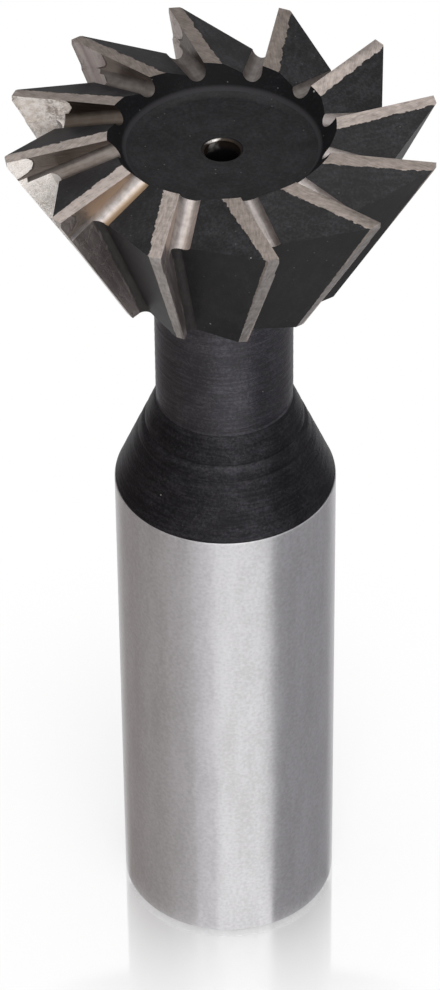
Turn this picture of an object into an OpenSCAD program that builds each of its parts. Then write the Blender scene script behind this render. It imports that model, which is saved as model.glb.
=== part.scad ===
// Straight-shank dovetail cutter, turned and ground from one bar of tool steel.
// The shank stands on z = 0 and the cutting end is uppermost.
// Seen from the cutting end it turns counter-clockwise, so it is a right-hand tool.

/* [Shank] */
// Diameter of the ground shank
shank_d = 16; // [14:0.5:20]
// Length of the straight shank
shank_l = 39.5; // [25:0.5:60]
// Edge break around the free end of the shank
shank_chamfer = 0.5; // [0.2:0.1:1]

/* [Taper and neck] */
// Length of the taper from the shank to the neck
taper_l = 7.5; // [5:0.5:12]
// Diameter of the neck
neck_d = 9.8; // [8:0.2:11]
// Length of the neck, up to the underside of the head
neck_l = 11; // [6:0.5:16]
// Radius where the neck runs into the head
neck_fillet = 0.6; // [0.3:0.1:1]

/* [Head] */
// Diameter of the cutting end, measured over the blunted tooth corners
head_d = 30; // [28.5:0.5:33]
// Height of the head, along the axis
head_h = 12; // [10:0.5:13]
// Angle between the side cutting edges and the end face
dovetail_angle = 60; // [58:1:66]
// Radial depth of the flat that blunts each sharp corner
corner_flat = 0.25; // [0.1:0.05:0.5]
// Diameter of the recess in the cutting end, at its rim
recess_d = 15.8; // [14.5:0.1:17]
// Depth of the recess
recess_depth = 1.7; // [1.4:0.1:2.2]
// Angle by which the wall of the recess slopes, from upright
recess_slope = 40; // [30:1:45]
// Radius around the floor of the recess
recess_fillet = 1.2; // [0.5:0.1:1.4]

/* [Teeth] */
// Number of teeth
teeth = 12; // [11:1:13]
// Direction of the first tooth tip, about the axis
first_tip_angle = 14.4; // [0:0.1:30]
// Distance by which the rake faces pass behind the axis
hook = 1.5; // [1:0.1:2]
// Angle by which the rake faces lead toward the shank
side_lead = 1; // [0:0.5:3]
// Width of the ground land behind each end cutting edge, at the tip
end_land = 0.9; // [0.6:0.1:1.2]
// Angle by which that land widens toward the recess
end_land_flare = 2; // [0:0.5:3]
// Relief angle of the end land
end_land_relief = 5; // [2:1:9]
// Clearance angle of the end face behind the land
end_clearance = 22; // [18:1:30]
// Width of the ground land behind each side cutting edge, at the tip
side_land = 0.9; // [0.7:0.1:1.2]
// Width of the same land at the underside of the head
side_land_low = 0.6; // [0.4:0.1:0.8]
// Angle by which the side land falls away behind its cutting edge
side_land_fall = 15; // [13:1:18]

/* [Flutes] */
// Distance of the flute root from the axis, level with the end face
flute_top_r = 11.9; // [11.4:0.1:12.4]
// Radius along the root of each side flute
flute_root = 0.5; // [0.2:0.1:0.8]

/* [End gullets] */
// Width of the round-bottomed gullet in front of each end cutting edge
gullet_w = 1.4; // [1.2:0.1:1.8]
// Depth of the gullet at the rim of the recess
gullet_depth = 1.1; // [0.9:0.1:1.3]
// Angle at which the gullet falls toward the outside
gullet_tilt = 12; // [8:1:14]
// Depth by which the gullet's wheel bit into the rake face
gullet_step = 0.06; // [0.02:0.01:0.15]

/* [Centre holes] */
// Pilot diameter of the centre holes
centre_d = 2.5; // [2:0.1:3.2]
// Depth of the pilot hole in the cutting end
centre_depth = 6; // [4:0.5:8]
// Mouth diameter of the countersink in the shank end
centre_mouth_d = 5.3; // [4.5:0.1:6.5]
// Edge break at the mouth of the hole in the cutting end
centre_break = 0.2; // [0.1:0.05:0.4]

/* [Hidden] */
$fn = 144;
// Length by which a cut runs past the surface that it opens
clear = 1;
// Length that takes a cut well clear of the head
far = 12;
// Included angles of the centre holes' countersink and drill point
countersink_angle = 60;
drill_point_angle = 118;
shank_r = shank_d / 2;
neck_r = neck_d / 2;
recess_r = recess_d / 2;
gullet_r = gullet_w / 2;
centre_r = centre_d / 2;
neck_z = shank_l + taper_l;
head_z = neck_z + neck_l;
top_z = head_z + head_h;
tip_r = head_d / 2;
// Distance from the axis of the sharp corner that the flat takes off
sharp_r = tip_r + corner_flat;
base_r = sharp_r - head_h / tan(dovetail_angle);
corner_z = top_z - corner_flat * tan(dovetail_angle);
pitch = 360 / teeth;
// Lean of the side edges, away from the axis
edge_lean = 90 - dovetail_angle;
// Where a rake plane meets a circle about the axis, measured along the plane
function along_rake(r) = sqrt(r * r - hook * hook);
// A point in plan, turned about the axis
function turned(p, a) = [p.x * cos(a) - p.y * sin(a), p.x * sin(a) + p.y * cos(a)];
// A point of the tooth ahead at distance r from the axis and y across this tooth's axes,
// measured from this tooth's rake plane and from the end face, square to the rake plane
function ahead(r, y, z) =
    let (p = turned([sqrt(r * r - y * y), y], pitch), d = p.y + hook)
    [p.x, d * cos(side_lead) + z * sin(side_lead), z * cos(side_lead) - d * sin(side_lead)];
// The flat back of the tooth ahead runs through both ends of its land and the flute's root
root_top = [flute_top_r, 0, 0];
back_top = ahead(tip_r, -hook - side_land, 0) - root_top;
low_edge = head_h * tan(side_lead) - hook;
back_low = ahead(base_r, low_edge - side_land_low, -head_h) - root_top;
back_normal = cross(back_top, back_low);
// Lean of the flute roots, away from the axis
root_lean = atan(-back_normal.z / back_normal.x);
// Opening angle of a flute, from the rake face to the back of the tooth ahead
flute_angle = atan2(back_top.y, back_top.x * cos(root_lean) - back_top.z * sin(root_lean));
// Distance from the sharp root of a flute to where its root radius ends
root_tangent = flute_root / tan(flute_angle / 2);

// Half section of the shank, with its edge break
module shank() {
    rotate_extrude()
        polygon([
            [0, 0],
            [shank_r - shank_chamfer, 0],
            [shank_r, shank_chamfer],
            [shank_r, shank_l],
            [0, shank_l]
        ]);
}

// Taper, neck and head as they come from the lathe
module turned_end() {
    rotate_extrude()
        difference() {
            polygon([
                [0, shank_l],
                [shank_r, shank_l],
                [neck_r, neck_z],
                [neck_r, head_z - neck_fillet],
                [neck_r + neck_fillet, head_z],
                [base_r, head_z],
                [tip_r, corner_z],
                [tip_r, top_z],
                [0, top_z]
            ]);
            translate([neck_r + neck_fillet, head_z - neck_fillet])
                circle(neck_fillet);
        }
}

// Turned recess that leaves the end teeth standing
module recess() {
    floor_z = top_z - recess_depth;
    corner_r = recess_r - recess_depth * tan(recess_slope);
    tangent = recess_fillet * tan((90 - recess_slope) / 2);
    mouth_r = recess_r + clear * tan(recess_slope);
    rotate_extrude() {
        polygon([
            [0, floor_z],
            [corner_r - tangent, floor_z],
            [corner_r + tangent * sin(recess_slope), floor_z + tangent * cos(recess_slope)],
            [mouth_r, top_z + clear],
            [0, top_z + clear]
        ]);
        translate([corner_r - tangent, floor_z + recess_fillet])
            circle(recess_fillet);
    }
}

// Pilot hole in the floor of the recess, with a broken edge and a drill point
module head_centre() {
    mouth_z = top_z - recess_depth;
    point_h = centre_r / tan(drill_point_angle / 2);
    rotate_extrude()
        polygon([
            [0, mouth_z - centre_depth - point_h],
            [centre_r, mouth_z - centre_depth],
            [centre_r, mouth_z - centre_break],
            [centre_r + centre_break, mouth_z],
            [centre_r + centre_break, mouth_z + clear],
            [0, mouth_z + clear]
        ]);
}

// Countersunk centre hole in the free end of the shank
module shank_centre() {
    mouth_r = centre_mouth_d / 2;
    cone_h = (mouth_r - centre_r) / tan(countersink_angle / 2);
    pilot_h = cone_h + centre_d;
    point_h = centre_r / tan(drill_point_angle / 2);
    rotate_extrude()
        polygon([
            [0, -clear],
            [mouth_r, -clear],
            [mouth_r, 0],
            [centre_r, cone_h],
            [centre_r, pilot_h],
            [0, pilot_h + point_h]
        ]);
}

// Turns a cut from the rake plane's own axes to the tooth at the given number
module at_tooth(i) {
    rotate(first_tip_angle + asin(hook / tip_r) + i * pitch)
        children();
}

// Sets a cut on the rake plane, at a distance from the axis, leaning along the root or the edge
module on_rake(r, lean) {
    translate([r, -hook, top_z])
        rotate([side_lead, 0, 0])
            rotate([0, lean, 0])
                translate([0, 0, -head_h / cos(lean) - clear])
                    linear_extrude(head_h / cos(lean) + far)
                        children();
}

// Side flute: rake face, root radius and the flat back of the tooth ahead
module side_flute() {
    back = [cos(flute_angle), sin(flute_angle)];
    on_rake(flute_top_r, root_lean) {
        polygon([
            [root_tangent, 0],
            [far, 0],
            far * back,
            root_tangent * back
        ]);
        translate([root_tangent, flute_root])
            circle(flute_root);
    }
}

// Narrow ground land behind a side cutting edge
module side_land_cut() {
    depth = side_land + clear;
    on_rake(along_rake(sharp_r), edge_lean)
        polygon([
            [clear * tan(side_land_fall), clear],
            [far, clear],
            [far, -depth],
            [-depth * tan(side_land_fall), -depth]
        ]);
}

// Round-bottomed gullet along the foot of an end cutting edge
module end_gullet() {
    centre_z = top_z - gullet_depth + gullet_r;
    translate([recess_r, gullet_r - hook - gullet_step, centre_z])
        rotate([0, 90 + gullet_tilt, 0])
            translate([0, 0, -recess_r / 2])
                linear_extrude(recess_r / 2 + far) {
                    circle(gullet_r);
                    translate([-far, -gullet_r])
                        square([far, gullet_w]);
                }
}

// A slope that falls away behind a line along the rake plane
module fall(angle) {
    rotate([90, 0, 90])
        linear_extrude(2 * head_d, center = true)
            polygon([
                [0, 0],
                [0, clear],
                [-far, clear],
                [-far, -far * tan(angle)]
            ]);
}

// Land and clearance behind an end cutting edge, as far as the middle of the next gullet
module end_relief() {
    edge_y = -hook - gullet_step;
    next_y = edge_y + gullet_r;
    reach = 2 * head_d;
    intersection() {
        translate([along_rake(tip_r), edge_y, top_z]) {
            fall(end_land_relief);
            translate([0, -end_land, -end_land * tan(end_land_relief)])
                rotate(end_land_flare)
                    fall(end_clearance);
        }
        translate([0, 0, head_z])
            linear_extrude(head_h + 2 * clear)
                polygon([
                    [0, 0],
                    [0, edge_y],
                    turned([0, next_y], -pitch),
                    turned([reach, next_y], -pitch),
                    [reach, 0]
                ]);
    }
}

module dovetail_cutter() {
    color("#c9c8ca")
        difference() {
            shank();
            shank_centre();
        }
    color("#38383b")
        difference() {
            turned_end();
            recess();
            head_centre();
            for (i = [0 : teeth - 1])
                at_tooth(i)
                    side_flute();
            for (i = [0 : teeth - 1])
                at_tooth(i)
                    side_land_cut();
            for (i = [0 : teeth - 1])
                at_tooth(i)
                    end_gullet();
            for (i = [0 : teeth - 1])
                at_tooth(i)
                    end_relief();
        }
}

dovetail_cutter();
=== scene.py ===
# %% [markdown]
# A dovetail cutter in black oxide and ground steel
#
# The tool is one bar of tool steel. A lathe gives it a straight shank, a taper, a neck and a cone-shaped
# head, and grinding wheels cut twelve teeth into the head. Then the whole tool is blackened, and the shank
# and the cutting edges are ground bright. The CAD model already holds every main shape, so this lesson is
# mostly about finishes: which wheel touched which face, and how such a face looks.

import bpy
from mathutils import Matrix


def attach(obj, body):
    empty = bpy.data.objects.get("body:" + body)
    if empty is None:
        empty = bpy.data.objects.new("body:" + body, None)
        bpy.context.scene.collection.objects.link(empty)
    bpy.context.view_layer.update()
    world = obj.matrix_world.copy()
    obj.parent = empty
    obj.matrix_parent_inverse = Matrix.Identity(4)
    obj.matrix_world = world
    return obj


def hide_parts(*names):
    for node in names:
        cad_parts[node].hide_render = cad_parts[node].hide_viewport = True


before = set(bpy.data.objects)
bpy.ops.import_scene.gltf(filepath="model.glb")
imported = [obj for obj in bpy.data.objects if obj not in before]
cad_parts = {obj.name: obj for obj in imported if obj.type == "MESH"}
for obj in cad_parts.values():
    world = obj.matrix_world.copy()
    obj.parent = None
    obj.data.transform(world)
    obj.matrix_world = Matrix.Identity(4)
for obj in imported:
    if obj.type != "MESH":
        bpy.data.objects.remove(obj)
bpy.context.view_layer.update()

# %% [markdown]
# The drawing's sizes
#
# Blender works in metres and a toolmaker in millimetres. All sizes here are millimetres, the same ones that
# the CAD drawing uses, and `MM` turns them into metres at the last moment. The first tip's direction is in
# degrees, and the hook is how far a rake face passes behind the axis.

# %% Sizes from the drawing
import math

import bmesh
import bpy
import numpy as np
from mathutils import Matrix, Vector

MM = 0.001
SHANK_R, SHANK_TOP = 8.0, 39.5
NECK_R, TAPER_TOP, NECK_TOP = 4.9, 47.0, 57.4
HEAD_Z, TOP_Z, TIP_R = 58.0, 70.0, 15.0
TEETH, FIRST_TIP, HOOK = 12, 14.4, 1.5
print("teeth:", TEETH, "pitch in degrees:", 360 / TEETH)

# %% [markdown]
# A closed mesh from the frame
#
# The frame's mesh has split corners, because a GLB file keeps one normal per corner. Welding the corners
# gives back one closed skin. Its flat faces are exact, so the teeth are kept as they are. The round part
# below the head was cut into few facets, so it is taken off here and turned anew in the next steps.

# %% Weld the copy and open it at the neck
WELD = 2e-4
cad_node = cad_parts["dovetail_cutter"]
skin = bmesh.new()
skin.from_mesh(cad_node.data)
bmesh.ops.remove_doubles(skin, verts=skin.verts, dist=WELD * MM)
below = [f for f in skin.faces if max(v.co.z for v in f.verts) < (NECK_TOP + WELD) * MM]
bmesh.ops.delete(skin, geom=below, context="FACES")
rim = [e for e in skin.edges if e.is_boundary]
print("faces kept for the head:", len(skin.faces), "edges around the open neck:", len(rim))

# %% [markdown]
# The lathe work
#
# A lathe part is a profile spun about an axis, so the profile comes first: a radius for each height. It
# carries what a lathe tool leaves: fine waves on the neck and taper, two shallow grooves on the taper where
# the tool was moved, a small undercut where the neck meets the taper, and a narrow edge break at the top of
# the ground shank. Bump in a material could show the grooves, but it would vanish at the outline.

# %% Profile of neck, taper and shank
RING_STEP = 0.15
# The height of the waves, then the share of each wave, its radians for each millimetre and its phase.
WAVE_HEIGHT = 0.005
WAVES = ((1.0, 9.1, 0.0), (0.7, 14.3, 1.0), (0.5, 5.7, 2.0))
# The height of each groove's middle, its depth and its width.
UNDERCUT = (TAPER_TOP, 0.06, 0.3)
TAPER_GROOVES = ((44.75, 0.12, 0.22), (43.65, 0.07, 0.14))
SHANK_BREAK, SHANK_MIDDLE, END_BREAK = 0.1, 20, 0.5
CENTRE_MOUTH_R, CENTRE_R, CENTRE_CONE_Z, CENTRE_PILOT_Z = 2.65, 1.25, 2.425, 4.925
DRILL_POINT = math.radians(118)
CENTRE_POINT_Z = CENTRE_PILOT_Z + CENTRE_R / math.tan(DRILL_POINT / 2)


def tool_waves(z):
    """Height of the lathe tool's waves at z."""
    return WAVE_HEIGHT * sum(share * math.sin(rate * z + phase) for share, rate, phase in WAVES)


def black_profile(z):
    """Radius of neck and taper at z."""
    r = NECK_R + (SHANK_R - NECK_R) * max(0, TAPER_TOP - z) / (TAPER_TOP - SHANK_TOP)
    for middle, depth, width in (UNDERCUT, *TAPER_GROOVES):
        r -= depth * math.exp(-(((z - middle) / width) ** 2))
    return r + tool_waves(z) * min(1, (z - SHANK_TOP) / RING_STEP)


steps = round((NECK_TOP - SHANK_TOP) / RING_STEP)
heights = np.linspace(NECK_TOP, SHANK_TOP, steps + 1)[1:-1]
profile = [(black_profile(z), z) for z in heights]
profile += [(SHANK_R - SHANK_BREAK / 2, SHANK_TOP), (SHANK_R, SHANK_TOP - SHANK_BREAK)]
profile += [(SHANK_R, SHANK_MIDDLE), (SHANK_R, END_BREAK), (SHANK_R - END_BREAK, 0)]
profile += [(CENTRE_MOUTH_R, 0), (CENTRE_R, CENTRE_CONE_Z), (CENTRE_R, CENTRE_PILOT_Z)]
print("rings in the profile:", len(profile))

# %% [markdown]
# Spinning the profile
#
# Blender's Screw modifier could spin the profile, but its rings would not meet the head's open rim point by
# point. Here the angles come from the rim itself, each step split in three, so the first ring of faces
# closes the skin and no edge stays open.

# %% Spin the profile and close the skin
SPLIT = 3
TURN = 2 * math.pi


def ring(r, z, angles):
    """One ring of points about the axis."""
    return [skin.verts.new((r * math.cos(a) * MM, r * math.sin(a) * MM, z * MM)) for a in angles]


rim_points = sorted({v for e in rim for v in e.verts}, key=lambda v: math.atan2(v.co.y, v.co.x))
rim_angles = [math.atan2(v.co.y, v.co.x) for v in rim_points]
angles = []
for here, there in zip(rim_angles, rim_angles[1:] + [rim_angles[0] + TURN]):
    angles += [here + (there - here) * k / SPLIT for k in range(SPLIT)]
count = len(angles)
rings = [ring(r, z, angles) for r, z in profile]
for i, v in enumerate(rim_points):
    low = [rings[0][(i * SPLIT + k) % count] for k in range(SPLIT + 1)]
    skin.faces.new([rim_points[(i + 1) % len(rim_points)], v] + low)
for high, low in zip(rings, rings[1:]):
    for k in range(count):
        skin.faces.new([high[(k + 1) % count], high[k], low[k], low[(k + 1) % count]])
point = skin.verts.new((0, 0, CENTRE_POINT_Z * MM))
for k in range(count):
    skin.faces.new([rings[-1][(k + 1) % count], rings[-1][k], point])
bmesh.ops.recalc_face_normals(skin, faces=skin.faces)
print("faces:", len(skin.faces), "open edges:", sum(not e.is_manifold for e in skin.edges))

# %% [markdown]
# Which wheel cut which face
#
# Each finish follows the wheel that made the face. In a tooth's own axes, with x outward along its rake
# face, y across it and z up, every cut is a plane or a cylinder that is the same for all twelve teeth. So
# each cut is written once, as a point and the direction that it faces.

# %% Tooth axes and the planes of the cuts
STEP, GULLET_W, GULLET_DEPTH, RECESS_R = 0.06, 1.4, 1.1, 7.9
GULLET_TILT, SIDE_LEAD, END_RELIEF = map(math.radians, (12, 1, 5))
END_LAND, END_FLARE, END_CLEARANCE = 0.9, math.radians(2), math.radians(22)
SHARP_R, EDGE_LEAN, SIDE_FALL = 15.25, math.radians(30), math.radians(15)
ALONG_TIP = math.sqrt(TIP_R**2 - HOOK**2)
ALONG_SHARP = math.sqrt(SHARP_R**2 - HOOK**2)
EDGE_Y = -HOOK - STEP


def turned_x(v, a):
    """A vector turned about x."""
    return Matrix.Rotation(a, 3, "X") @ Vector(v)


back_point = (ALONG_TIP, EDGE_Y - END_LAND, TOP_Z - END_LAND * math.tan(END_RELIEF))
back_tilt = Vector((0, -math.sin(END_CLEARANCE), math.cos(END_CLEARANCE)))
back_normal = Matrix.Rotation(END_FLARE, 3, "Z") @ back_tilt
side_tilt = Vector((math.cos(SIDE_FALL), -math.sin(SIDE_FALL), 0))
side_normal = turned_x(Matrix.Rotation(EDGE_LEAN, 3, "Y") @ side_tilt, SIDE_LEAD)
CUT_PLANES = {
    "rake": ((0, -HOOK, TOP_Z), turned_x((0, 1, 0), SIDE_LEAD)),
    "slot_wall": ((0, EDGE_Y, TOP_Z), (0, 1, 0)),
    "slot_far_wall": ((0, EDGE_Y + GULLET_W, TOP_Z), (0, -1, 0)),
    "end_land": ((0, EDGE_Y, TOP_Z), turned_x((0, 0, 1), END_RELIEF)),
    "end_back": (back_point, back_normal),
    "side_land": ((ALONG_SHARP, -HOOK, TOP_Z), side_normal),
}
tooth_turns = [FIRST_TIP + math.degrees(math.asin(HOOK / TIP_R)) + i * 360 / TEETH for i in range(TEETH)]
to_tooth = [np.array(Matrix.Rotation(-math.radians(a), 3, "Z")) for a in tooth_turns]
print("cuts with a plane:", ", ".join(CUT_PLANES))

# %% [markdown]
# Naming the faces
#
# A face is turned into the axes of each tooth in turn, and the cut that its corners lie on names it. A paint
# mask by hand would work too, but it would have to be redone after every change of the drawing.

# %% Find the cut of a face
ON_CUT, FACING_SAME, FAR = 0.004, 0.99, 1e9
axis_point = np.array((RECESS_R, EDGE_Y + GULLET_W / 2, TOP_Z - GULLET_DEPTH + GULLET_W / 2))
axis_along = np.array((math.cos(GULLET_TILT), 0, -math.sin(GULLET_TILT)))


def tooth_behind(middle):
    """The number of the tooth whose rake face is the next one ahead of a point."""
    gaps = [(-HOOK - (t @ middle)[1]) if (t @ middle)[0] > 0 else FAR for t in to_tooth]
    return int(np.argmin([g if g > -ON_CUT else FAR for g in gaps]))


def tooth_beside(middle):
    """The number of the tooth whose rake plane is nearest to a point."""
    gaps = [abs((t @ middle)[1] + HOOK) if (t @ middle)[0] > 0 else FAR for t in to_tooth]
    return int(np.argmin(gaps))


def cut_of(points, normal):
    """The cut that a head face lies on and the number of its tooth."""
    for i, turn_to in enumerate(to_tooth):
        p, n = points @ turn_to.T, turn_to @ normal
        if p[:, 0].min() < 0:
            continue
        for cut, (origin, facing) in CUT_PLANES.items():
            off = (p - np.array(origin)) @ np.array(facing)
            if abs(off).max() < ON_CUT and n @ np.array(facing) > FACING_SAME:
                return cut, i
        across = np.cross(p - axis_point, axis_along)
        if abs(np.linalg.norm(across, axis=1) - GULLET_W / 2).max() < ON_CUT:
            return "slot_floor", i
    return None, tooth_behind(points.mean(0))


print("slot axis starts at", axis_point.round(3), "and runs along", axis_along.round(3))

# %% [markdown]
# Names for all faces
#
# Height and radius alone tell shank, taper, neck, hole and recess apart, and the rest of the head goes
# through the cuts. The back of a tooth is flat. So a face on no cut that leans away from it by more than a
# few degrees is the curved root of a flute, and that belongs to the tooth beside it.

# %% Name every face after its cut
HOLE_MOUTH_R, ON_TIP = 1.45, 0.02
FLAT, WALL_LEAN = math.cos(math.radians(3)), math.cos(math.radians(30))


def name_face(f):
    """Cut and tooth of one face."""
    points = np.array([v.co for v in f.verts]) / MM
    high = points[:, 2].max()
    radii = np.hypot(points[:, 0], points[:, 1])
    if high < SHANK_TOP + ON_CUT:
        return "shank", 0
    if high < HEAD_Z + ON_CUT:
        return ("neck" if high > TAPER_TOP + ON_CUT else "taper"), 0
    if radii.max() < HOLE_MOUTH_R + ON_CUT:
        return "hole", 0
    cut, tooth = cut_of(points, np.array(f.normal))
    if cut is None and radii.max() < RECESS_R + ON_CUT:
        return ("recess" if f.normal.z > WALL_LEAN else "recess_wall"), tooth
    if cut is None and abs(radii - TIP_R).max() < ON_TIP:
        return "corner", tooth
    return cut or "tooth_back", tooth


def tooth_normal(f):
    """A face's normal in the axes of its own tooth."""
    return to_tooth[named[f][1]] @ np.array(f.normal)


named = {f: name_face(f) for f in skin.faces}
backs = [f for f in skin.faces if named[f][0] == "tooth_back"]
flat_back = tooth_normal(max(backs, key=lambda f: f.calc_area()))
for f in backs:
    if tooth_normal(f) @ flat_back < FLAT:
        named[f] = ("flute_root", tooth_beside(np.array(f.calc_center_median()) / MM))
kinds = sorted({k for k, _ in named.values()})
print({k: sum(1 for c, _ in named.values() if c == k) for k in kinds})

# %% [markdown]
# One piece in place of the CAD node
#
# The piece stands for the CAD node and keeps its form. Every face gets the finish of its cut, and an edge
# between two cuts stays sharp, while the small facets within one cut are shaded as one smooth surface.

# %% Make the piece
MATERIAL_OF = {
    "shank": "ground_shank",
    "neck": "black_neck",
    "taper": "black_taper",
    "recess": "black_bored",
    "recess_wall": "black_recess_wall",
    "hole": "worn_hole_and_glint",
    "tooth_back": "black_milled",
    "end_back": "black_milled",
    "end_land": "ground_end_land",
    "side_land": "ground_side_land",
    "corner": "ground_side_land",
    "rake": "ground_rake",
    "flute_root": "flute_root",
    "slot_wall": "slot_wall",
    "slot_floor": "slot_floor",
    "slot_far_wall": "slot_floor",
}
FINISHES = list(dict.fromkeys(MATERIAL_OF.values()))
for f in skin.faces:
    f.material_index = FINISHES.index(MATERIAL_OF[named[f][0]])
    f.smooth = True
SHARP = math.radians(20)
for e in skin.edges:
    a, b = (named[f] for f in e.link_faces)
    e.smooth = a == b and e.calc_face_angle() < SHARP
skin.faces.index_update()
face_names = [named[f] for f in skin.faces]
cutter_mesh = bpy.data.meshes.new("dovetail_cutter_finish")
skin.to_mesh(cutter_mesh)
skin.free()
cutter = bpy.data.objects.new("dovetail_cutter_finish", cutter_mesh)
bpy.context.scene.collection.objects.link(cutter)
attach(cutter, "root")
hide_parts("dovetail_cutter")
print("piece:", cutter.name, "faces:", len(cutter_mesh.polygons))

# %% [markdown]
# Numbers on the mesh
#
# Shaders read two kinds of number from the mesh. Each corner stores its place in the axes of its own tooth,
# so that one formula fits all twelve. Each face stores numbers for its tooth, because such teeth are ground
# one by one and never come out quite alike: how far out the slot wheel ran on the rake face, in millimetres,
# and how light the lands, rake face, slot wall and slot floor are, from 0 to 1. These tones are partly that
# real difference and partly painted light and shade: faces turned toward the lamps are set lighter, and
# faces turned away or under the end land darker.

# %% Store each corner's place in its tooth
# The first tooth points right and the rest follow counter-clockwise.
RUN_OUT = (13.2, 13.6, 13.0, 12.6, 12.3, 11.2, 13.5, 13.9, 13.7, 13.4, 13.8, 13.1)
# Tones from 0 to 1, partly real differences between teeth and partly painted light and shade by how each
# tooth faces the lamps.
LAND_TONE = (0.7, 0.85, 0.4, 0.38, 0.39, 0.5, 0.74, 0.94, 0.68, 0.44, 0.47, 0.46)
RAKE_TONE = (0.5, 0.5, 0.4, 0.32, 0.15, 0.72, 1.0, 0.06, 0.033, 0.2, 0.4, 0.5)
WALL_TONE = (0.5, 0.5, 0.5, 0.13, 0.33, 0.06, 0.42, 1.0, 1.0, 0.5, 0.5, 0.5)
SLOT_TONE = (0.6, 0.4, 0.4, 0.3, 0.28, 0.09, 0.2, 0.85, 0.74, 0.46, 0.6, 0.5)
SEED_STEP = 7.3


def in_tooth(points, tooth):
    """Out along the rake, back from the rake plane, and down from the end face."""
    p = points @ to_tooth[tooth].T - np.array((0, -HOOK, TOP_Z))
    back = -(p[:, 1] * math.cos(SIDE_LEAD) + p[:, 2] * math.sin(SIDE_LEAD))
    return np.stack([p[:, 0], back, -p[:, 2]], 1)


places = cutter_mesh.attributes.new("tooth_place", "FLOAT_VECTOR", "CORNER")
marks = cutter_mesh.attributes.new("tooth_marks", "FLOAT_VECTOR", "FACE")
tones = cutter_mesh.attributes.new("tooth_tones", "FLOAT_VECTOR", "FACE")
for polygon, (_, tooth) in zip(cutter_mesh.polygons, face_names):
    corners = np.array([cutter_mesh.vertices[v].co for v in polygon.vertices]) / MM
    for loop, place in zip(polygon.loop_indices, in_tooth(corners, tooth)):
        places.data[loop].vector = place
    marks.data[polygon.index].vector = (RUN_OUT[tooth], WALL_TONE[tooth], tooth * SEED_STEP)
    tones.data[polygon.index].vector = (LAND_TONE[tooth], RAKE_TONE[tooth], SLOT_TONE[tooth])
print("attributes:", places.name, marks.name, tones.name)

# %% [markdown]
# Writing shader maths as Python
#
# A finish is a formula over the surface. Wiring it by hand takes dozens of nodes, so one small class wraps a
# socket: adding or multiplying two of them adds a Math node. The reflected forms let a plain number stand
# first, as in `1 - mask`.

# %% Sockets with operators
class Wire:
    """A node's output. Arithmetic on it adds Math nodes."""

    def __init__(self, sheet, socket):
        self.sheet, self.socket = sheet, socket

    def math(self, operation, *values):
        return self.sheet.node("Math", {"operation": operation}, dict(enumerate(values)))

    def __add__(self, other):
        return self.math("ADD", self, other)

    def __sub__(self, other):
        return self.math("SUBTRACT", self, other)

    def __rsub__(self, other):
        return self.math("SUBTRACT", other, self)

    def __mul__(self, other):
        return self.math("MULTIPLY", self, other)

    def __gt__(self, other):
        return self.math("GREATER_THAN", self, other)

    __radd__ = __add__
    __rmul__ = __mul__


OPERATORS = ("add__", "sub__", "mul__", "gt__")
print("operators on a socket:", [k for k in vars(Wire) if k.endswith(OPERATORS)])

# %% [markdown]
# Node trees from one method
#
# All other nodes come from `node`, which makes any node, sets its settings first and then fills or links its
# sockets. Colours go through Mix and places through Vector Math, because a Math node turns a colour grey.

# %% Node trees written from Python
class Sheet:
    """A node tree that is written from Python."""

    def __init__(self, owner):
        owner.use_nodes = True
        self.tree = owner.node_tree
        self.tree.nodes.clear()

    def node(self, kind, settings=None, sockets=None, out=0):
        """Any node: its settings first, then the values or links of its sockets."""
        made = self.tree.nodes.new("ShaderNode" + kind)
        for name, value in (settings or {}).items():
            setattr(made, name, value)
        for name, value in (sockets or {}).items():
            if isinstance(value, Wire):
                self.tree.links.new(value.socket, made.inputs[name])
            else:
                made.inputs[name].default_value = value
        return Wire(self, made.outputs[out]) if made.outputs else made

    def vector(self, operation, a, b):
        return self.node("VectorMath", {"operation": operation}, {0: a, 1: b})

    def mix(self, mask, a, b):
        return self.node("Mix", {"data_type": "RGBA"}, {0: mask, 6: a, 7: b}, 2)

    def noise(self, place, scale, detail=3, **more):
        sockets = {"Vector": place, "Scale": scale, "Detail": detail}
        return self.node("TexNoise", None, {**sockets, **more}, "Fac")

    def rise(self, value, start, end):
        """0 below start, 1 above end, smooth between them."""
        sockets = {0: value, 1: start, 2: end}
        return self.node("MapRange", {"interpolation_type": "SMOOTHSTEP"}, sockets)

    def parts(self, vector):
        split = self.node("SeparateXYZ", None, {0: vector})
        outputs = split.socket.node.outputs
        return [Wire(self, outputs[k]) for k in range(3)]

    def join(self, x, y, z):
        return self.node("CombineXYZ", None, {0: x, 1: y, 2: z})

    def in_mm(self):
        """The object's own coordinates, in millimetres."""
        return self.vector("MULTIPLY", self.node("TexCoord", out="Object"), (1 / MM,) * 3)

    def from_axis(self, x, y):
        """Distance from the tool's axis."""
        return self.node("VectorMath", {"operation": "LENGTH"}, {0: self.join(x, y, 0.0)}, "Value")


print("a sheet makes nodes with:", [k for k in vars(Sheet) if not k.startswith("_")])

# %% [markdown]
# A finish as four fields
#
# Every surface of the tool is described by the same four fields: colour, roughness, how far it is bare metal,
# and a height for fine relief. Keeping them together lets one mask move all four from black oxide to bright
# steel at once, which is what a grinding wheel does where it cuts through the oxide. A number that is the
# same all over goes straight to the shader's own socket.

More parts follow.
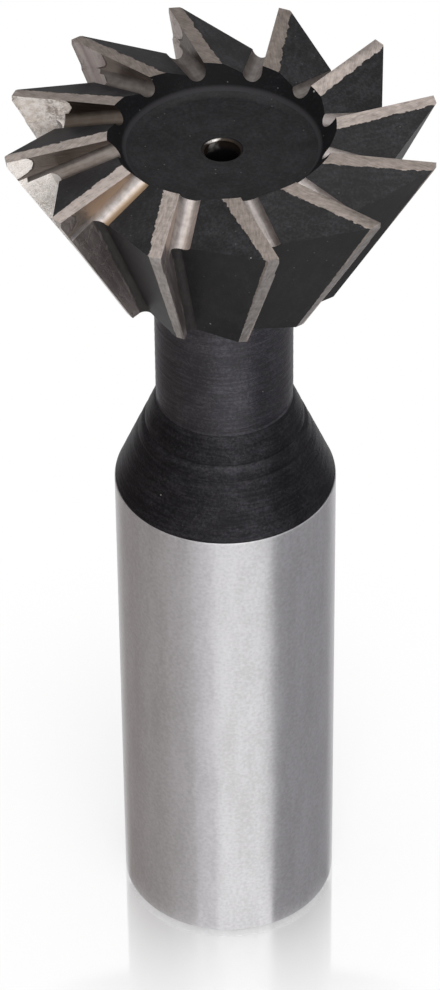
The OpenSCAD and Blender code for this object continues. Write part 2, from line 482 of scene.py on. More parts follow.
# %% Fields of a finish
class Finish(Sheet):
    """A material whose fields are mixed by masks."""

    def __init__(self, name):
        super().__init__(bpy.data.materials.new(name))
        self.name = name
        self.mm = self.in_mm()
        self.along, self.back, self.down = self.stored("tooth_place")
        self.run_out, self.wall_tone, self.seed = self.stored("tooth_marks")
        self.land_tone, self.rake_tone, self.slot_tone = self.stored("tooth_tones")

    def stored(self, name):
        """The three numbers of an attribute on the mesh."""
        return self.parts(self.node("Attribute", {"attribute_name": name}, out="Vector"))

    def tooth_noise(self, along, down, detail=3, shift=0.0, **more):
        """Noise that differs from tooth to tooth, with a fineness along the tooth and one down it."""
        seed = self.seed + shift if shift else self.seed
        return self.noise(self.join(self.along * along, self.down * down, seed), 1.0, detail, **more)

    def between(self, mask, under, over):
        """The fields of `under`, with those of `over` where the mask is 1."""
        colour = self.mix(mask, under[0], over[0])
        rest = [a if a == b else a + mask * (b - a) for a, b in zip(under[1:], over[1:])]
        return (colour, *rest)

    def coat(self, fields, relief, **constants):
        """Ends the material in a Principled BSDF. Relief is in millimetres."""
        colour, rough, metal, height = fields
        bump = self.node("Bump", None, {"Strength": 1.0, "Distance": relief * MM, "Height": height})
        varying = {"Base Color": colour, "Roughness": rough, "Metallic": metal, "Normal": bump}
        fixed = {socket.replace("_", " "): value for socket, value in constants.items()}
        shader = self.node("BsdfPrincipled", None, {**varying, **fixed})
        self.node("OutputMaterial", None, {"Surface": shader})
        print("finish:", self.name, "nodes:", len(self.tree.nodes))


print("finishes to make:", len(FINISHES))

# %% [markdown]
# Bright steel on the shank
#
# A shank is ground between centres while it spins, so its scratches run round it. Such a surface spreads a
# reflection along the axis and keeps it narrow across, which the Anisotropic value stands for. Blender's own
# tangent already runs round the z axis. A quarter turn of it puts the spread along the shank.

# %% Ground shank
STEEL_DARK, STEEL_LIGHT = (0.58, 0.57, 0.575, 1), (0.72, 0.71, 0.725, 1)
ROUND_STRETCH, LONG_STRETCH = (0.35, 0.35, 14), (1, 1, 0.2)
ALONG_AXIS = {"Anisotropic": 0.8, "Anisotropic_Rotation": 0.25}
SHANK_ROUGH, SHANK_RELIEF = 0.24, 0.004
shank = Finish("ground_shank")
round_marks = shank.noise(shank.vector("MULTIPLY", shank.mm, ROUND_STRETCH), 1.0)
long_cloud = shank.noise(shank.vector("MULTIPLY", shank.mm, LONG_STRETCH), 0.8, 4)
grain = shank.noise(shank.mm, 4.0)
shank_colour = shank.mix(shank.rise(0.4 * long_cloud + 0.6 * grain, 0.3, 0.7), STEEL_DARK, STEEL_LIGHT)
shank_rough = SHANK_ROUGH + 0.08 * round_marks + 0.06 * long_cloud + 0.10 * grain
shank.coat((shank_colour, shank_rough, 1.0, round_marks + 0.6 * grain), SHANK_RELIEF, **ALONG_AXIS)

# %% [markdown]
# Black oxide
#
# Blackening turns the skin of the steel into a thin dark oxide. It is nearly black, a little uneven, and it
# follows the tool marks below it. Here and there a speck is rubbed through to the metal. The specks come from
# a Voronoi pattern: a few of its cells, picked by their random colour, get a small dot.

# %% Black oxide fields
BLACK, BLACK_WORN = (0.0035, 0.0033, 0.0039, 1), (0.0200, 0.0190, 0.0215, 1)
SPECK, FAINT_SPECK = (0.5, 0.49, 0.48, 1), (0.07, 0.068, 0.066, 1)
PATCHES, FINE_GRAIN = 0.5, 5.0
WORN_FROM, WORN_TO = 0.42, 0.70
# Cells for each millimetre, the share of them with a dot, and the dot's size in cells.
FAINT_DOTS, BRIGHT_DOTS, DOT_CORE = (2.3, 0.12, 0.16), (1.1, 0.05, 0.10), 0.4


def dots(f, scale, share, size):
    """1 on small dots in a share of the cells of a Voronoi pattern."""
    cells = {"Vector": f.mm, "Scale": scale}
    near = f.node("TexVoronoi", None, cells, "Distance")
    pick = f.node("SeparateColor", None, {0: f.node("TexVoronoi", None, cells, "Color")})
    return (pick > 1 - share) * (1 - f.rise(near, DOT_CORE * size, size))


def black_oxide(f, marks, rough=0.38, dark=BLACK, worn=BLACK_WORN, metal=0.0):
    """Fields of the oxide over the given tool marks, worn lighter in patches, with specks."""
    patch = f.noise(f.mm, PATCHES, 5)
    fine = f.noise(f.mm, FINE_GRAIN, 4, Roughness=0.7)
    wear = f.rise(0.2 * patch + 0.4 * fine + 0.4 * marks, WORN_FROM, WORN_TO)
    oxide = (f.mix(wear, dark, worn), rough + 0.10 * patch + 0.16 * fine, metal, marks + 0.5 * fine)
    oxide = f.between(dots(f, *FAINT_DOTS), oxide, (FAINT_SPECK, 0.5, metal, 0.6))
    return f.between(dots(f, *BRIGHT_DOTS), oxide, (SPECK, 0.35, 1.0, 0.6))


print("oxide from", BLACK[:3], "to", BLACK_WORN[:3])

# %% [markdown]
# Neck and taper
#
# These were turned, so the lines of the lathe tool run round them. One noise does for a cylinder, a cone and
# a flat face if it changes fast with height and radius and slowly round the axis. On the neck and taper the
# oxide has a polish like dark metal and mirrors the studio in soft upright bands, so they are shaded as a
# dark metal with the shank's spread along the axis.

# %% Lathe marks, neck and taper
# Painted light: the same oxide is set lighter on the neck than on the taper, for a brighter band there.
NECK_BLACK, NECK_WORN = (0.057, 0.0545, 0.060, 1), (0.135, 0.129, 0.142, 1)
TAPER_BLACK, TAPER_WORN = (0.022, 0.021, 0.0235, 1), (0.068, 0.065, 0.072, 1)
EDGE_TINT = (0.72, 0.71, 0.72, 1)
LINES_UP, LINES_OUT, LINES_FINER = 5.0, 3.5, 1.6
LONG_LINES, SHORT_LINES = 0.15, 0.9


def lathe_marks(f):
    """Lines that run round the axis, on a cylinder, a cone or a flat face."""
    x, y, z = f.parts(f.mm)
    across = LINES_UP * z + LINES_OUT * f.from_axis(x, y)
    long_place = f.join(LONG_LINES * x, LONG_LINES * y, across)
    short_place = f.join(SHORT_LINES * x, SHORT_LINES * y, LINES_FINER * across)
    return 0.5 * f.noise(long_place, 1.0, Roughness=0.6) + 0.5 * f.noise(short_place, 1.0, Roughness=0.6)


def polished_oxide(name, rough, dark, worn, relief):
    """Black oxide on a turned side, with the polish of a dark metal."""
    f = Finish(name)
    fields = black_oxide(f, lathe_marks(f), rough, dark, worn, metal=1.0)
    f.coat(fields, relief, Specular_Tint=EDGE_TINT, **ALONG_AXIS)


polished_oxide("black_neck", 0.24, NECK_BLACK, NECK_WORN, relief=0.05)
polished_oxide("black_taper", 0.26, TAPER_BLACK, TAPER_WORN, relief=0.06)

# %% [markdown]
# The recess in the end
#
# The recess only clears the work, so it is left dull and black. The lathe's lines are faint there, so they
# come in at less than half their strength. The wall is painted darker than the floor as shade, and the foot
# of the wall carries a painted highlight, a lighter band set by a mask of depth.

# %% Floor and wall of the recess
BORED_GLOSS, WALL_GLOSS, BORED_RELIEF = 0.15, 0.07, 0.012
# The colour of the painted highlight low on the wall, and the depths where it begins and where it is full.
FILLET_HIGHLIGHT, HIGHLIGHT_FROM, HIGHLIGHT_TO = (0.026, 0.0245, 0.0265, 1), 1.15, 1.4
bored = Finish("black_bored")
bored_fields = black_oxide(bored, 0.34 + 0.4 * lathe_marks(bored), 0.30)
bored.coat(bored_fields, BORED_RELIEF, Specular_IOR_Level=BORED_GLOSS)

bored_wall = Finish("black_recess_wall")
depth = TOP_Z - bored_wall.parts(bored_wall.mm)[2]
# Painted highlight: a lighter band low on the wall, where the fillet catches the light from above.
painted_highlight = bored_wall.rise(depth, HIGHLIGHT_FROM, HIGHLIGHT_TO)
# Painted shade: the wall's oxide gets less wear than the floor's, so the wall comes out darker.
wall_black = black_oxide(bored_wall, 0.2 + 0.3 * lathe_marks(bored_wall), 0.40)
wall_with_highlight = bored_wall.between(painted_highlight, wall_black, (FILLET_HIGHLIGHT, 0.40, 0.0, 0.4))
bored_wall.coat(wall_with_highlight, BORED_RELIEF, Specular_IOR_Level=WALL_GLOSS)

# %% [markdown]
# The worn mouth of the centre hole, with a painted glint
#
# The hole in the end held the tool while it was ground, so the point of the machine has rubbed its mouth
# bare. The metal there is brown and goes black down the hole. One side of the rim carries a painted glint, a
# bright metal colour where the rim would catch the light. How far a place lies toward that side is a dot
# product, which makes the glint.

# %% Worn mouth of the centre hole and its painted glint
HOLE_BROWN, HOLE_GLINT = (0.040, 0.030, 0.024, 1), (0.80, 0.76, 0.72, 1)
HOLE_RIM, RIM_SOFT, HOLE_RELIEF = 1.40, 0.08, 0.02
BROWN_FROM, BROWN_TO = 67.2, 68.4
GLINT_SIDE, GLINT_FROM, GLINT_TO, PATCHY = (-0.5, 0.87, 0.0), 1.15, 1.38, 0.35
hole = Finish("worn_hole_and_glint")
wear = hole.noise(hole.mm, 2.5, 4)
hole_x, hole_y, hole_z = hole.parts(hole.mm)
dot_sockets = {0: hole.mm, 1: GLINT_SIDE}
toward = hole.node("VectorMath", {"operation": "DOT_PRODUCT"}, dot_sockets, "Value")
# Painted glint: the rim is coloured bright on the one side where it would catch the light.
bright = hole.rise(toward + PATCHY * (wear - 0.5), GLINT_FROM, GLINT_TO)
inside_rim = 1 - hole.rise(hole.from_axis(hole_x, hole_y), HOLE_RIM - RIM_SOFT, HOLE_RIM)
bare = hole.rise(hole_z, BROWN_FROM, BROWN_TO) * inside_rim
hole_metal = (hole.mix(bright, HOLE_BROWN, HOLE_GLINT), 0.3 + 0.2 * wear, 1.0, wear)
hole_fields = hole.between(bare, (BLACK, 0.45, 0.0, 0.4), hole_metal)
hole.coat(hole_fields, HOLE_RELIEF, Specular_IOR_Level=BORED_GLOSS)

# %% [markdown]
# Ground steel
#
# The wheels that sharpen a tooth run dry and by hand, so the bright lands are warm grey and streaked along
# the wheel's path. A stretched noise gives the streaks, a rounder one the clouds between them, and the
# tooth's tone sets how bright it is: partly a real difference between teeth, and partly painted light by how
# the land faces the lamps.

# %% Ground steel
LAND_DARK, LAND_LIGHT = (0.03, 0.018, 0.008, 1), (0.56, 0.49, 0.45, 1)
STREAK_LONG, STREAK_FINE, CLOUDS = 1.2, 8.0, 1.8
TINT_FROM, TINT_TO = 0.22, 0.78


def streaks(f, along, across, angle):
    """Fine scratches that run along, leaning by an angle that the seed varies."""
    lean = angle * (f.node("TexWhiteNoise", {"noise_dimensions": "1D"}, {"W": f.seed}) - 0.5)
    place = f.join(along * STREAK_LONG, (across + along * lean) * STREAK_FINE, f.seed)
    return f.noise(place, 1.0, 4, Roughness=0.7)


def ground(f, marks, tone, light=LAND_LIGHT, rough=0.42):
    """Fields of ground steel over the given scratches, lighter where the tone is higher."""
    cloud = f.noise(f.mm, CLOUDS, 4, Roughness=0.6)
    tint = f.rise(0.55 * marks + 0.45 * cloud, TINT_FROM, TINT_TO)
    colour = f.mix(tone * (0.5 + tint), LAND_DARK, light)
    return (colour, rough + 0.16 * cloud, 1.0, marks + 0.5 * cloud)


print("ground steel from", LAND_DARK[:3], "to", LAND_LIGHT[:3])

# %% [markdown]
# Ragged edges of the lands
#
# The trailing edge of a land is ragged where the wheel just broke through the oxide. Its width comes from
# the drawing, and a noise along the edge moves the line to both sides of the drawn one. In the tooth's own
# axes one mask fits all twelve.

# %% Edges of the lands
SIDE_LAND, SIDE_LAND_LOW = 0.9, 0.6
RAGGED, END_RAGGED, SIDE_RAGGED = (1.6, 1.6), 0.55, 0.16
END_SOFT, SIDE_SOFT = (-0.02, 0.03), (-0.015, 0.02)


def ragged(f, amount):
    """A wavering number for the edge of a land, in millimetres."""
    return amount * (f.tooth_noise(*RAGGED, Roughness=0.6) - 0.5)


def end_land_mask(f):
    """1 on the end land, 0 behind it."""
    width = STEP + END_LAND + math.tan(END_FLARE) * (ALONG_TIP - f.along)
    return 1 - f.rise(f.back - width + ragged(f, END_RAGGED), *END_SOFT)


def side_land_mask(f):
    """1 on the side land, 0 behind it."""
    width = SIDE_LAND + (SIDE_LAND_LOW - SIDE_LAND) / (TOP_Z - HEAD_Z) * f.down
    return 1 - f.rise(f.back - width + ragged(f, SIDE_RAGGED), *SIDE_SOFT)


print("side land from", SIDE_LAND, "mm at the tip to", SIDE_LAND_LOW, "mm at the neck")

# %% [markdown]
# Tooth backs and lands
#
# The wheel wandered past the drawn edge of a land in some places and stopped short of it in others. So the
# land's own faces and the black back behind them carry the same two finishes and the same mask, and the
# ragged line runs across the edge between them without a break.

# %% Tooth backs and lands
SIDE_LIGHT = (0.62, 0.58, 0.555, 1)
# Worn oxide colours. The one for faces that look up is set lighter than the flanks' as painted light from
# above.
FLANK_WORN, END_WORN_TOP_LIT = (0.018, 0.017, 0.0185, 1), (0.036, 0.0345, 0.038, 1)
END_LEAN, SIDE_LEAN = 1.5, 0.4
MILL_ALONG, MILL_ACROSS, UP_FROM, UP_TO = 0.8, 4.0, 0.5, 0.6
BACK_GLOSS, LAND_GLOSS, LAND_RELIEF = 0.19, 0.17, 0.01
milled = Finish("black_milled")
mill_place = milled.join(milled.along * MILL_ALONG, milled.back * MILL_ACROSS, milled.down * MILL_ALONG)
mill_lines = milled.noise(mill_place, 1.0, 4)
land = ground(milled, streaks(milled, milled.along, milled.back, END_LEAN), milled.land_tone)
upward = milled.parts(milled.node("NewGeometry", out="Normal"))[2]
facing_up = milled.rise(upward, UP_FROM, UP_TO)
edge_mask = facing_up * end_land_mask(milled) + (1 - facing_up) * side_land_mask(milled)
# Painted light: faces that look up take the lighter worn colour.
back_worn_top_lit = milled.mix(facing_up, FLANK_WORN, END_WORN_TOP_LIT)
milled_black = black_oxide(milled, 0.3 + 0.4 * mill_lines, worn=back_worn_top_lit)
milled.coat(milled.between(edge_mask, milled_black, land), LAND_RELIEF, Specular_IOR_Level=BACK_GLOSS)

end_land = Finish("ground_end_land")
end_marks = streaks(end_land, end_land.along, end_land.back, END_LEAN)
end_black = black_oxide(end_land, end_marks, worn=END_WORN_TOP_LIT)
end_ground = ground(end_land, end_marks, end_land.land_tone)
end_fields = end_land.between(end_land_mask(end_land), end_black, end_ground)
end_land.coat(end_fields, LAND_RELIEF, Specular_IOR_Level=LAND_GLOSS)

side_land = Finish("ground_side_land")
side_marks = streaks(side_land, side_land.down, side_land.back, SIDE_LEAN)
side_black = black_oxide(side_land, side_marks, worn=FLANK_WORN)
side_ground = ground(side_land, side_marks, side_land.land_tone, SIDE_LIGHT, 0.36)
side_fields = side_land.between(side_land_mask(side_land), side_black, side_ground)
side_land.coat(side_fields, LAND_RELIEF, Specular_IOR_Level=LAND_GLOSS)

# %% [markdown]
# Rake faces
#
# The side of a tooth that meets the work is its rake face, rough from the first wheel. On some teeth it is
# dark and streaked along the edge, on others light, torn and pitted, so one number for each tooth, its rake
# tone, moves between the two. The tone is also painted light and shade: rake faces turned toward the lamps
# are set light and those turned away dark. The pits come in clusters, which a second and coarser noise picks
# out. Their dark colour is painted shade, and the raised torn lumps are coloured lighter, partly bare metal
# and partly painted highlight.

# %% Rake faces
RAKE_DARK, RAKE_LIGHT = (0.24, 0.20, 0.195, 1), (1.0, 0.93, 0.88, 1)
# The pit colour is painted shade in the pits.
TORN, PIT_SHADE = (0.76, 0.67, 0.59, 1), (0.25, 0.19, 0.14, 1)
TORN_GRAIN, PIT_GRAIN, CLUSTER_GRAIN, STREAK_GRAIN = (1.8, 2.1), (3.2, 3.8), (0.9, 0.9), (1.6, 0.25)
PIT_SHIFT, CLUSTER_SHIFT = 3.0, 5.0
PITTED, CLUSTERED, BARED_AND_LIT, STREAKED = (0.46, 0.66), (0.38, 0.62), (0.32, 0.48), (0.28, 0.72)
RAKE_RELIEF = 0.35


def torn_and_pitted(f):
    """Height of the torn metal and how far it is pitted. Pits come in clusters, fewest where light."""
    torn = f.tooth_noise(*TORN_GRAIN, 6, Roughness=0.8)
    pits = f.tooth_noise(*PIT_GRAIN, 4, PIT_SHIFT, Roughness=0.75)
    cluster = f.tooth_noise(*CLUSTER_GRAIN, 2, CLUSTER_SHIFT)
    strength = 1.9 - 1.65 * f.rake_tone
    return torn, strength * f.rise(pits, *PITTED) * f.rise(cluster, *CLUSTERED)


def rough_rake(f):
    """Fields of the rough rake face: streaked along the edge where dark, torn and pitted where light."""
    torn, pitted = torn_and_pitted(f)
    # Lighter on the raised lumps: partly bare metal, partly painted highlight.
    bared_and_lit = f.rise(torn + 0.35 * f.rake_tone - 0.35, *BARED_AND_LIT)
    # Pits are painted dark as shade.
    torn_colour = f.mix(pitted, f.mix(bared_and_lit, TORN, RAKE_LIGHT), PIT_SHADE)
    from_edge = f.along + math.tan(EDGE_LEAN) * f.down
    streak = f.noise(f.join(from_edge * STREAK_GRAIN[0], f.down * STREAK_GRAIN[1], f.seed), 1.0)
    streaked_colour = f.mix(0.25 * f.rise(streak, *STREAKED), RAKE_DARK, RAKE_LIGHT)
    colour = f.mix(f.rake_tone, streaked_colour, torn_colour)
    relief = f.rake_tone * (torn - 0.6 * pitted) + (1 - f.rake_tone) * 0.08 * streak
    return (colour, 0.36 + 0.2 * torn, 1 - 0.9 * f.rake_tone, relief)


rake = Finish("ground_rake")
rake.coat(rough_rake(rake), RAKE_RELIEF)

# %% [markdown]
# Flute roots
#
# Below its rake face a flute curves into the back of the next tooth. No later wheel reaches that curve, so
# the oxide stays on it, and the border with the rake face wavers with the wheel's lines.

# %% Flute roots
ROOT_BLACK, ROOT_WORN = (0.009, 0.0078, 0.0076, 1), (0.030, 0.026, 0.0255, 1)
ROOT_ROUND, ROOT_DOWN, ROOT_EDGE, ROOT_RELIEF = 3.0, 0.4, (-0.02, 0.12), 0.05
root = Finish("flute_root")
root_place = root.join(root.along * ROOT_ROUND, root.back * ROOT_ROUND, root.down * ROOT_DOWN)
root_lines = root.noise(root_place, 1.0)
blackened = root.rise(0.15 * root_lines - root.back, *ROOT_EDGE) * (1 - 0.4 * root.rake_tone)
root_black = black_oxide(root, 0.35 + 0.4 * root_lines, 0.45, ROOT_BLACK, ROOT_WORN)
root_fields = root.between(blackened, rough_rake(root), root_black)
root.coat(root_fields, ROOT_RELIEF, Specular_IOR_Level=BORED_GLOSS)

# %% [markdown]
# Slot walls
#
# A narrow round wheel ran out along the foot of each end edge. It left a smooth slot, and bit a little into
# the rake face until it was drawn off, so the slot's wall ends in a ragged line at a different place on each
# tooth. Past that line the rough rake face goes on, so its fields are used again here.

# %% Slot walls
WALL_DARK, WALL_LIGHT = (0.03, 0.02, 0.015, 1), (0.58, 0.49, 0.43, 1)
# Painted shade inside the run-out line: its colour and strength.
RUN_OUT_SHADE, SHADE_STRENGTH = (0.02, 0.015, 0.012, 1), 0.7
BULGE, BULGE_MIDDLE, WANDER, WANDER_GRAIN = 0.45, 0.6, 0.5, (1.5, 1.8)
WALL_GRAIN, PAST_LINE, SHADE_WIDTH = (0.7, 9.0), (-0.03, 0.03), (-0.25, -0.02)


def run_out(f):
    """How far a place is outside the line where the slot wheel was drawn off, in millimetres."""
    from_middle = f.down * (1 / BULGE_MIDDLE) - 1
    wander = f.tooth_noise(*WANDER_GRAIN, Roughness=0.65)
    return f.along - f.run_out + BULGE * (1 - from_middle * from_middle) + WANDER * (wander - 0.5)


wall = Finish("slot_wall")
wall_marks = wall.tooth_noise(*WALL_GRAIN, 4)
wall_cloud = wall.noise(wall.join(wall.along, wall.down, wall.seed), 0.8)
wall_tint = wall.wall_tone * (0.5 + 0.5 * wall_marks + 0.5 * wall_cloud)
wall_colour = wall.mix(wall_tint, WALL_DARK, WALL_LIGHT)
wall_fields = (wall_colour, 0.36 + 0.12 * wall_marks, 1.0, 0.13 * wall_marks)
reach = run_out(wall)
outer = wall.rise(reach, *PAST_LINE)
# Painted shade: a dark band just inside the run-out line, where the start of the wall lies in shade.
shade_line = SHADE_STRENGTH * wall.rise(reach, *SHADE_WIDTH) * (1 - outer)
wall_fields = wall.between(shade_line, wall_fields, (RUN_OUT_SHADE, 0.5, 1.0, 0.0))
wall.coat(wall.between(outer, wall_fields, rough_rake(wall)), RAKE_RELIEF)

# %% [markdown]
# Slot floors
#
# The floor of a slot has the round shape of the wheel and is the smoothest cut on the head. Two slots were
# ground hot and turned tan on one side, so the tan comes in only where the slot's tone is high.

# %% Slot floors
SLOT_LIGHT, SLOT_TAN = (0.56, 0.515, 0.50, 1), (0.36, 0.265, 0.175, 1)
TAN_FROM, TAN_TO, BURNT_FROM, BURNT_TO = 0.30, 0.9, 0.7, 0.85
SLOT_ALONG, SLOT_ACROSS, SLOT_SMOOTH, PAST_SLOT = 0.6, 7.0, 0.07, (-0.05, 0.05)
slot = Finish("slot_floor")
slot_marks = slot.noise(slot.join(slot.along * SLOT_ALONG, slot.back * SLOT_ACROSS, slot.seed), 1.0, 4)
slot_ground = ground(slot, 0.25 + 0.5 * slot_marks, slot.slot_tone, SLOT_LIGHT)
tan_side = slot.rise(0.25 * slot_marks - slot.back, TAN_FROM, TAN_TO)
burnt = slot.rise(slot.slot_tone, BURNT_FROM, BURNT_TO)
slot_colour = slot.mix(tan_side * burnt, slot_ground[0], SLOT_TAN)
slot_fields = (slot_colour, *slot_ground[1:3], SLOT_SMOOTH * slot_ground[3])
past_slot = slot.rise(slot.along - slot.run_out, *PAST_SLOT)
slot.coat(slot.between(past_slot, slot_fields, rough_rake(slot)), RAKE_RELIEF)

for name in FINISHES:
    cutter_mesh.materials.append(bpy.data.materials[name])
print("finishes on the piece:", [m.name for m in cutter_mesh.materials])

# %% [markdown]
# Floor and background
#
# The tool stands on plain white, with a faint mirror image in front of the shank. Near the tool the floor is
# a real pale surface that takes its shadow, with a gloss in front that fades away from the shank. Farther out
# it turns to plain white for the camera and for mirror-like rays, so that the steel shows the same ground.

# %% Floor
FLOOR_HALF, FLOOR_PALE, WHITE = 1500, (0.88, 0.88, 0.88, 1), (1, 1, 1, 1)
MIRROR, MIRROR_FADE, MIRROR_FROM, MIRROR_TO, MIRROR_ROUGH = 0.53, 6.3, 15, 24, 0.06
FRONT_FROM, FRONT_TO = -3, 4
WHITE_NEAR, WHITE_FROM, WHITE_TO = 0.6, 10, 40
floor_mesh = bpy.data.meshes.new("floor")
square = ((-1, -1), (1, -1), (1, 1), (-1, 1))
floor_corners = [(FLOOR_HALF * x * MM, FLOOR_HALF * y * MM, 0) for x, y in square]
floor_mesh.from_pydata(floor_corners, [], [(0, 1, 2, 3)])
floor = bpy.data.objects.new("floor", floor_mesh)
bpy.context.scene.collection.objects.link(floor)
pale = bpy.data.materials.new("pale_floor")
floor_mesh.materials.append(pale)
sheet = Sheet(pale)


def seen_directly(s):
    """1 for the camera and for mirror-like and see-through rays."""
    path = s.node("LightPath").socket.node.outputs
    rays = [Wire(s, path[name]) for name in ("Is Camera Ray", "Is Glossy Ray", "Is Transmission Ray")]
    return s.node("Clamp", None, {0: rays[0] + rays[1] + rays[2]})


floor_x, floor_y, _ = sheet.parts(sheet.in_mm())
out_from_axis = sheet.from_axis(floor_x, floor_y)
matt = sheet.node("BsdfDiffuse", None, {"Color": FLOOR_PALE})
white = sheet.node("Emission", None, {"Color": WHITE, "Strength": 1.0})
away = WHITE_NEAR + (1 - WHITE_NEAR) * sheet.rise(out_from_axis, WHITE_FROM, WHITE_TO)
ground_light = sheet.node("MixShader", None, {0: seen_directly(sheet) * away, 1: matt, 2: white})
mirror = sheet.node("BsdfGlossy", None, {"Color": WHITE, "Roughness": MIRROR_ROUGH})
from_shank = (SHANK_R - out_from_axis) * (1 / MIRROR_FADE)
fade = sheet.node("Math", {"operation": "EXPONENT"}, {0: from_shank})
in_front = sheet.rise(0 - floor_y, FRONT_FROM, FRONT_TO)
gloss = MIRROR * fade * in_front * (1 - sheet.rise(out_from_axis, MIRROR_FROM, MIRROR_TO))
shown = sheet.node("MixShader", None, {0: gloss, 1: ground_light, 2: mirror})
sheet.node("OutputMaterial", None, {"Surface": shown})
print("floor with", len(sheet.tree.nodes), "nodes")

# %% [markdown]
# World
#
# A white world is the simplest studio: it fills every shadow a little. It is white for the camera and for
# reflections, and dimmer as a light, so that the black oxide keeps its depth.

# %% World
AMBIENT = 0.55
world = bpy.data.worlds.new("studio")
bpy.context.scene.world = world
sky = Sheet(world)
level = AMBIENT + (1 - AMBIENT) * seen_directly(sky)
sky.node("OutputWorld", None, {0: sky.node("Background", None, {"Color": WHITE, "Strength": level})})
print("world nodes:", len(sky.tree.nodes))

# %% [markdown]
# Softboxes
#
# One wide softbox stands in front and another hangs overhead, and both show in the metal. A third one only
# fills the front of the teeth. It is hidden from mirror-like rays, because a lamp that the steel mirrors
# would burn a white spot into it. The strength is given as a glow, so a lamp can be resized without
# becoming brighter to look at.

# %% Softboxes
def softbox(name, place, aim, size, radiance, mirrored=True):
    """A rectangular lamp with an even glow, aimed at a point. Places and sizes are in millimetres."""
    lamp = bpy.data.lights.new(name, "AREA")
    lamp.shape = "RECTANGLE"
    lamp.size, lamp.size_y = (s * MM for s in size)
    lamp.energy = radiance * math.pi * lamp.size * lamp.size_y
    ob = bpy.data.objects.new(name, lamp)
    ob.location = Vector(place) * MM
    ob.rotation_euler = (Vector(aim) - Vector(place)).to_track_quat("-Z", "Y").to_euler()
    ob.visible_glossy = mirrored
    bpy.context.scene.collection.objects.link(ob)
    print("softbox:", name, "energy", round(lamp.energy, 3), "W")


softbox("front_softbox", place=(70, -330, 340), aim=(0, 0, 40), size=(440, 260), radiance=2.0)
softbox("front_fill", place=(40, -400, 200), aim=(0, 0, 60), size=(300, 200), radiance=3.8, mirrored=False)
softbox("top_softbox", place=(0, 40, 520), aim=(0, 0, 30), size=(460, 460), radiance=1.55)

# %% [markdown]
# Grey cards
#
# Metal looks like what it mirrors, so a photographer sets grey cards around it. A card here is a glowing
# sheet, plain or graded from one edge to the other. Only mirror-like rays see it, and only from its front, so
# it casts no shadow and stays out of the picture.

# %% Cards that only reflections see
HIDDEN_FROM = ("camera", "diffuse", "shadow", "transmission", "volume_scatter")


def card(name, low, high, colour, far_colour=None):
    """A sheet between two rows of points, graded along the rows if it has a far colour."""
    last = len(low) - 1
    shape = bpy.data.meshes.new(name)
    faces = [(k, k + last + 1, k + last + 2, k + 1) for k in range(last)]
    shape.from_pydata([p * MM for p in low + high], [], faces)
    ob = bpy.data.objects.new(name, shape)
    bpy.context.scene.collection.objects.link(ob)
    for rays in HIDDEN_FROM:
        setattr(ob, "visible_" + rays, False)
    paint = bpy.data.materials.new(name)
    shape.materials.append(paint)
    s = Sheet(paint)
    glow_colour = (*colour, 1)
    if far_colour:
        share = shape.attributes.new("share", "FLOAT", "POINT")
        share.data.foreach_set("value", [k / last for k in range(last + 1)] * 2)
        across = s.node("Attribute", {"attribute_name": "share"}, out="Fac")
        glow_colour = s.mix(across, glow_colour, (*far_colour, 1))
    front = s.node("Emission", None, {"Color": glow_colour, "Strength": 1.0})
    behind = s.node("NewGeometry", out="Backfacing")
    glow = s.node("MixShader", None, {0: behind, 1: front, 2: s.node("BsdfTransparent")})
    s.node("OutputMaterial", None, {"Surface": glow})
    print("card:", name, "faces:", len(faces))


print("cards are hidden from:", ", ".join(HIDDEN_FROM))

# %% [markdown]
# Cards for the shank
#
# A round shank sends the view off at twice the angle of its side. A card ruled along those rays shows as an
# upright band with a clean edge, so each band of the shank is one card between two angles.

# %% Cards for the shank
CARD_STEPS, CARD_GAP, CARD_H, STEEPEST = 24, 0.8, 39.5, 1.8
# A card is laid flatter the more its rays run away from the camera.
VIEW_TILT, CLEAR_OF_VIEW, NEARLY_ZERO = math.radians(40.4), 0.95, 0.01


def shank_card(name, start, end, colour, far_colour=None):
    """A card that the shank mirrors between two of its sides, in degrees right of the camera."""
    low, high = [], []
    for k in range(CARD_STEPS + 1):
        side = math.radians(start + (end - start) * k / CARD_STEPS)
        out = Vector((math.sin(2 * side), -math.cos(2 * side), 0))
        slope = min(STEEPEST, CLEAR_OF_VIEW * math.tan(VIEW_TILT) / max(NEARLY_ZERO, out.y))
        low.append(SHANK_R * Vector((math.sin(side), -math.cos(side), 0)) + CARD_GAP * out)
        high.append(low[-1] + CARD_H / slope * out + Vector((0, 0, CARD_H)))
    card(name, low, high, colour, far_colour)


shank_card("left_dark_card", -72, -33.7, (0.33, 0.30, 0.29), (0.42, 0.395, 0.39))
shank_card("left_grey_card", -33.7, -17.8, (0.46, 0.44, 0.435), (0.55, 0.53, 0.535))
shank_card("left_pale_card", -17.8, -6.4, (0.73, 0.72, 0.735), (0.80, 0.79, 0.81))
shank_card("right_dark_card", 24, 72, (0.34, 0.335, 0.35))

# %% [markdown]
# Cards for the head, taper and neck
#
# The neck and taper face other ways than the shank, and so do the teeth. Bent cards round the axis give the
# taper its pale middle and darker sides, two small ones darken the sides of the neck, and two behind the tool
# keep the faces that look away from the light from mirroring plain white.

# %% Cards round the axis
FRONT_R, FRONT_LOW, FRONT_HIGH, PALE_TOP = 60, 30, 66, 49
NECK_CARD = (30, 22, 40)
FULL_FRONT = (FRONT_R, FRONT_LOW, FRONT_HIGH)


def ring_card(name, start, end, place, colour):
    """A card bent round the axis between two directions, in degrees right of the camera.

    Its place is its radius and the heights of its lower and upper edge."""
    radius, low, high = place
    turns = [math.radians(start + (end - start) * k / CARD_STEPS) for k in range(CARD_STEPS + 1)]
    row = [Vector((radius * math.sin(a), -radius * math.cos(a), 0)) for a in turns]
    lift = Vector((0, 0, 1))
    card(name, [p + low * lift for p in row], [p + high * lift for p in row], colour)


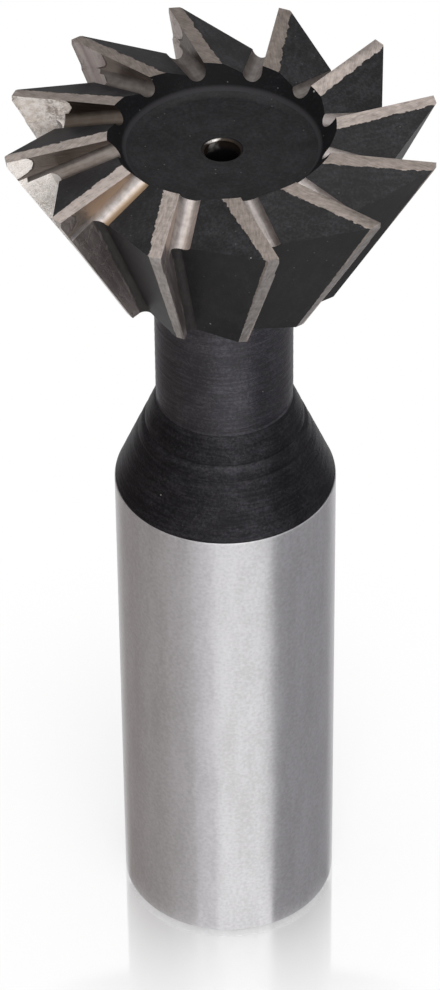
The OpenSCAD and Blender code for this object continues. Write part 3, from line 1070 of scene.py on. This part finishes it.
ring_card("back_card", 70, 290, (45, 58, 120), (0.45, 0.445, 0.45))
ring_card("front_left_card", -110, -36, FULL_FRONT, (0.28, 0.26, 0.25))
ring_card("front_grey_card", -36, -12, FULL_FRONT, (0.30, 0.295, 0.29))
ring_card("front_pale_card", -12, 36, (FRONT_R, FRONT_LOW, PALE_TOP), (0.85, 0.84, 0.90))
ring_card("front_upper_card", -12, 36, (FRONT_R, PALE_TOP, FRONT_HIGH), (0.12, 0.12, 0.125))
ring_card("front_right_card", 36, 74, FULL_FRONT, (0.52, 0.52, 0.56))
ring_card("front_side_card", 74, 120, FULL_FRONT, (0.75, 0.75, 0.78))
ring_card("neck_left_card", -90, -56, NECK_CARD, (0.06, 0.055, 0.05))
ring_card("neck_right_card", 46, 78, NECK_CARD, (0.06, 0.06, 0.065))
ring_card("low_back_card", 100, 260, (100, 15, 75), (0.25, 0.25, 0.255))

# %% [markdown]
# Camera
#
# The camera was solved from the photograph: the shank's outline, the tooth tips and the tool's known sizes
# fix its place, its tilt and its focal length. It looks down at the tool from forty degrees with a long lens.
# The focal length was solved in pixels. Blender fits the sensor to the longer side of a picture, which is
# the height of this one.

# %% Camera
CAMERA_PLACE, CAMERA_TILT, CAMERA_YAW, CAMERA_ROLL = (0, -259.37, 257.86), 40.378, -0.067, -0.550
PICTURE_H, FOCAL_PX, SENSOR = 990, 4691.1, 36.0
CLIP_NEAR, CLIP_FAR = 10, 10000
camera_data = bpy.data.cameras.new("camera")
camera_data.sensor_width = SENSOR
camera_data.lens = FOCAL_PX / PICTURE_H * SENSOR
camera_data.clip_start, camera_data.clip_end = CLIP_NEAR * MM, CLIP_FAR * MM
camera = bpy.data.objects.new("camera", camera_data)
tilt = Matrix.Rotation(math.radians(90 - CAMERA_TILT), 4, "X")
yaw = Matrix.Rotation(-math.radians(CAMERA_YAW), 4, "Y")
roll = Matrix.Rotation(math.radians(CAMERA_ROLL), 4, "Z")
camera.matrix_world = Matrix.Translation(Vector(CAMERA_PLACE) * MM) @ tilt @ yaw @ roll
bpy.context.scene.collection.objects.link(camera)
bpy.context.scene.camera = camera
bpy.context.scene.view_settings.view_transform = "Standard"
print("lens in millimetres:", round(camera_data.lens, 2))

# %% [markdown]
# The end of the script
#
# The finish must not change the tool's size.
